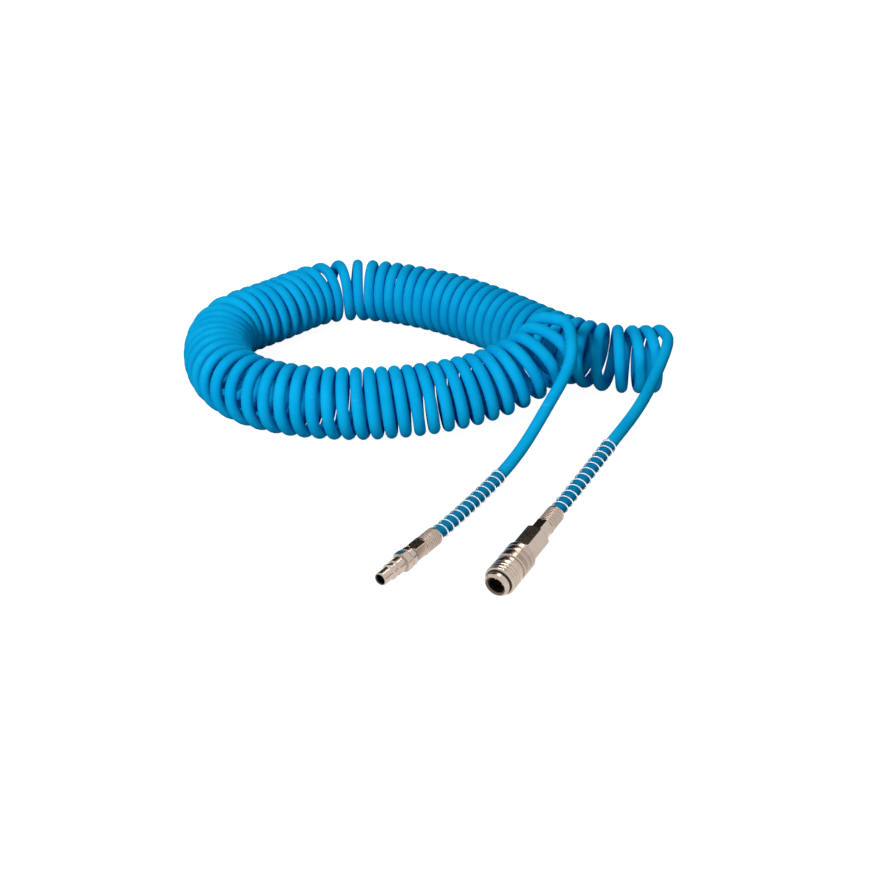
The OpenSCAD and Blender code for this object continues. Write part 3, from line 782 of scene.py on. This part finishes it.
class AIRHOSE_OT_guards(bpy.types.Operator):
    """Wind the bend guards that follow the hose out of each union nut"""

    bl_idname = "airhose.guards"
    bl_label = "Bend guards"

    def execute(self, context):
        settings = context.scene.airhose_hose
        wire, turn_radius = settings.wire / MM, settings.turn_radius / MM
        radius = settings.hose_thickness / MM / 2 + GUARD_GAP + wire / 2
        axis, _ = coil_axis(settings)
        _, up, _ = sides_of(axis)
        for name, end, step, route, coupling, stem_end, nut in (
            ("plug_bend_guard", 0, axis[0] - axis[1], PLUG_TAIL, PLUG, PLUG_STEM_END, PLUG_NUT),
            ("socket_bend_guard", -1, axis[-1] - axis[-2], SOCKET_TAIL, SOCKET, SOCKET_STEM_END, SOCKET_NUT),
        ):
            top = axis[end] + turn_radius * up[end]
            heading = np.cross(step, up[end]) * turn_radius * 2 * math.pi + step * TURN_POINTS
            line = tail_line(top, heading, route, coupling, stem_end)[::-1]
            start = nut + NUT_LENGTH - GUARD_SEAT - stem_end
            line = resampled(line, start + np.linspace(0, settings.guard_length / MM, GUARD_POINTS))
            guard = spring(name, line, settings.guard_turns, radius, wire, 12)
            listed(guard, "hose", "spring_steel", name.replace("guard", "spring"))
        return {"FINISHED"}


def dressed(piece, material, body, slot, *nodes):
    """Gives a turned piece its finish and even normals, hangs it on its body and hides the CAD nodes that it
    stands for.
    """
    piece.data.materials.clear()
    piece.data.materials.append(material)
    even = piece.modifiers.new("even_normals", "WEIGHTED_NORMAL")
    even.keep_sharp = True
    listed(piece, body, slot, *nodes)


def grooved(z0, z1, diameter, places, depth=0.35, width=0.6, crown=0.24):
    """Outline of a cylinder with fine grooves at the given places, and slightly crowned between them."""
    points, start, low = [], z0, diameter - crown
    for z in places:
        end = z - width / 2
        quarter = (end - start) / 4
        points += [(start, low), (start + quarter, diameter - crown / 4), ((start + end) / 2, diameter),
                   (end - quarter, diameter - crown / 4), (end, low), (end, diameter - 2 * depth),
                   (z + width / 2, diameter - 2 * depth)]
        start = z + width / 2
    return points + [(start, low), ((start + z1) / 2, diameter), (z1, low)]


def stem(z):
    """Outline of the threaded boss and the stem with its three barbs, behind a shoulder at z."""
    thread, thread_length, threads = 12, 10, 10
    root, length, bare, barb = z + thread_length, 12, 6, 6.4
    points, pitch = [(z, thread)], (length - 1) / 3
    for i in range(threads):
        at = z + 0.4 + i * (thread_length - 1) / threads
        points += [(at, thread), (at + 0.45, thread - 0.8)]
    points += [(root - 0.6, thread - 0.2), (root, thread - 1.2), (root, bare)]
    for i in range(3):
        points += [(root + 1 + pitch * i, bare), (root + 1.05 + pitch * i, barb),
                   (root + 0.6 + pitch * (i + 1), bare)]
    return points + [(root + length, bare)]


class AIRHOSE_OT_union_nuts(bpy.types.Operator):
    """Turn the two union nuts, with a hexagon in front and a ribbed collar behind"""

    bl_idname = "airhose.union_nuts"
    bl_label = "Union nuts"

    def execute(self, context):
        settings = context.scene.airhose_fittings
        groove, collar_start, collar_end = 0.6, 13.9, 28.2
        spacing = (collar_end - collar_start) / settings.nut_ribs
        for name, coupling, z, turn in (("plug_union_nut", PLUG, PLUG_NUT, 36),
                                        ("socket_union_nut", SOCKET, SOCKET_NUT, 20)):
            outline = [(0, 13.6, 1), (0.8, 15.2, 1), (12.5, 15.2, 1), (12.5, 14), (collar_start, 14),
                       (collar_start, 13.3), (collar_end, 13.3), (collar_end, 14), (29.4, 14),
                       (NUT_LENGTH, 13.4), (NUT_LENGTH, 13.1), (27, 13.1), (27, 10.4), (13.4, 10.4),
                       (11.4, 12.1), (0, 12.1)]
            outline = [(z + at, *size) for at, *size in outline]
            nut = turned(name, coupling, outline, settings.edge_radius / MM, (13.5, 15.2, turn))
            RIBS().shape(nut, Ribs=settings.nut_ribs,
                         Start=tuple(coupling.point(z + collar_start + spacing / 2) * MM),
                         Spacing=tuple(coupling.axis * spacing * MM), Ring_radius=0.007,
                         Rib_width=(spacing - groove) * MM, Rib_depth=0.0005, Material=nickel())
            dressed(nut, nickel(), "hose", "nickel_plate", name.replace("union_nut", "nut"))
        return {"FINISHED"}


class AIRHOSE_OT_plug(bpy.types.Operator):
    """Turn the plug: nose, ridge, ball groove, body, hexagon, flange and stem"""

    bl_idname = "airhose.plug"
    bl_label = "Plug"

    def execute(self, context):
        settings = context.scene.airhose_fittings
        outline = [(0, 8.7), (0.8, 9.9), (9.3, 9.9), (10.5, 11.9), (12.3, 11.9), (12.8, 9.8), (15.6, 9.8),
                   (16.4, 12), (23.6, 12), (23.6, 14.6, 1), (24.2, 15.8, 1), (29.4, 15.8, 1), (30, 14.6, 1),
                   (30, 14.4), (30.4, 15), (34.5, 15), (35, 14), *stem(35), (57, 4.6), (27.6, 4.6),
                   (25.6, 7.2), (0.6, 7.2), (0, 8.3)]
        plug = turned("plug_body", PLUG, outline, settings.edge_radius / MM, (14, 15.8, 6))
        dressed(plug, nickel(), "hose", "nickel_plate", "plug_nipple")
        return {"FINISHED"}


class AIRHOSE_OT_socket(bpy.types.Operator):
    """Turn the socket: the nose with its mouth, and the rear body with its collar, hexagon and stem"""

    bl_idname = "airhose.socket"
    bl_label = "Socket"

    def execute(self, context):
        radius = context.scene.airhose_fittings.edge_radius / MM
        front = [(0, 15.9), (1.4, 18.7), (4.4, 18.7), (4.4, 16), (24.6, 16), (24.6, 14), (25.8, 14),
                 (25.8, 16), (27, 16), (27, 10.2), (19.8, 10.2), (19.8, 12.8), (17.8, 12.8), (17.8, 10.2),
                 (17.2, 10.2), (16.4, 12.16), (12.6, 12.16), (12.6, 12.76), (8.8, 12.76), (8.8, 12.16),
                 (1, 12.16), (0, 14.5)]
        nose = turned("socket_nose", SOCKET, front, radius)
        dressed(nose, nickel(), "hose", "nickel_plate", "socket_body")
        collar = grooved(21.8, 37.6, 23, (28.3, 33.3))[1:-1]
        rear = [(16.6, 20.6), (21.8, 20.6), (21.8, 22), (22.3, 23), *collar, (36.6, 23), (37.6, 21),
                (37.6, 20.4, 1), (38.2, 21.4, 1), (58.4, 21.4, 1), (59.2, 19.8, 1), *stem(59.2), (81.2, 4.6),
                (48, 4.6), (44, 8), (44, 14.4), (27.05, 14.4), (27.05, 16.1), (19.5, 16.1), (19.5, 19.2),
                (16.6, 19.2)]
        body = turned("socket_rear", SOCKET, rear, radius, (19, 21.4, 28))
        dressed(body, nickel(), "hose", "nickel_plate", "socket_adapter")
        return {"FINISHED"}


class AIRHOSE_OT_sleeve(bpy.types.Operator):
    """Turn the release sleeve and the dark ring in front of it"""

    bl_idname = "airhose.sleeve"
    bl_label = "Release sleeve"

    def execute(self, context):
        radius = context.scene.airhose_fittings.edge_radius / MM
        front, back = 5.15, 18.6
        outer = grooved(front + 0.6, back - 0.4, 23, [front + 2.9 * i for i in (1, 2, 3)])
        # The cam that lets the balls out opens a little faster than they move.
        cam_back, slope = 11.15, 1.08 * BALL_TRAVEL / SLEEVE_TRAVEL
        cam_front = cam_back - (19 - 16.2) / 2 / slope
        outline = [(front, 21.8), *outer, (back, 22.2), (back, 21), (13, 21), (13, 16.2), (cam_back, 16.2),
                   (cam_front, 19), (front + 0.7, 19), (front + 0.7, 16.2), (front, 16.2)]
        sleeve = turned("release_grip", SOCKET, outline, radius)
        dressed(sleeve, nickel(), "sleeve", "nickel_plate", "release_sleeve")
        ring = turned("dark_stop_ring", SOCKET,
                      [(4.45, 19.9), (5.05, 19.9), (5.05, 16.2), (4.45, 16.2)], 0.12)
        dressed(ring, blackened_steel(), "sleeve_turn", "blackened_steel", "sleeve_stop_ring")
        return {"FINISHED"}


class AIRHOSE_OT_lock(bpy.types.Operator):
    """Finish what is inside the socket: balls, springs, valve and seals"""

    bl_idname = "airhose.lock"
    bl_label = "Lock and valve"

    def execute(self, context):
        for name, front, back, turns, radius, joint, keep in (
            ("sleeve_return_spring", 13.05, 19.45, 4, 8.8, "sleeve_slide", 0.53),
            ("valve_return_spring", 29.65, 43.95, 6, 4.6, "valve_slide", 0.7),
        ):
            line = np.stack([SOCKET.point(z) for z in np.linspace(front, back, 20)])
            coil = spring(name, line, turns, radius, SPRING_WIRE, 10)
            listed(coil, "hose", "spring_steel", name.replace("_return", ""))
            tuple(SOCKET.point(back) * MM)
            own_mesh(coil)
        paints = {"lock_ball": ball_steel, "valve_poppet": valve_brass, "valve_seal": seal_rubber,
                  "nose_seal": seal_rubber, "body_seal": seal_rubber}
        for name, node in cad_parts.items():
            for start, paint in paints.items():
                if name.startswith(start):
                    node.data.materials.clear()
                    node.data.materials.append(paint())
        return {"FINISHED"}


class AIRHOSE_PT_panel(bpy.types.Panel):
    """Everything that makes the hose, in the order that it is made"""

    bl_idname = "AIRHOSE_PT_panel"
    bl_label = "Coiled air hose"
    bl_space_type = "VIEW_3D"
    bl_region_type = "UI"
    bl_category = "Air hose"

    def draw(self, context):
        for operator in OPERATORS:
            self.layout.operator(operator.bl_idname)
        for group in ("airhose_hose", "airhose_fittings", "airhose_stage"):
            box = self.layout.box()
            settings = getattr(context.scene, group)
            for name in type(settings).__annotations__:
                box.prop(settings, name)


SETTINGS = {"airhose_hose": HoseSettings, "airhose_fittings": FittingSettings, "airhose_stage": StageSettings}
OPERATORS = (AIRHOSE_OT_stage, AIRHOSE_OT_hose, AIRHOSE_OT_guards, AIRHOSE_OT_union_nuts, AIRHOSE_OT_plug,
             AIRHOSE_OT_socket, AIRHOSE_OT_sleeve, AIRHOSE_OT_lock)


def register():
    for part in (*SETTINGS.values(), *OPERATORS, AIRHOSE_PT_panel):
        bpy.utils.register_class(part)
    for name, group in SETTINGS.items():
        setattr(bpy.types.Scene, name, bpy.props.PointerProperty(type=group))


def unregister():
    for name in SETTINGS:
        delattr(bpy.types.Scene, name)
    for part in reversed((*SETTINGS.values(), *OPERATORS, AIRHOSE_PT_panel)):
        bpy.utils.unregister_class(part)


def main():
    register()
    for operator in OPERATORS:
        group, name = operator.bl_idname.split(".")
        getattr(getattr(bpy.ops, group), name)()


if __name__ == "__main__":
    main()
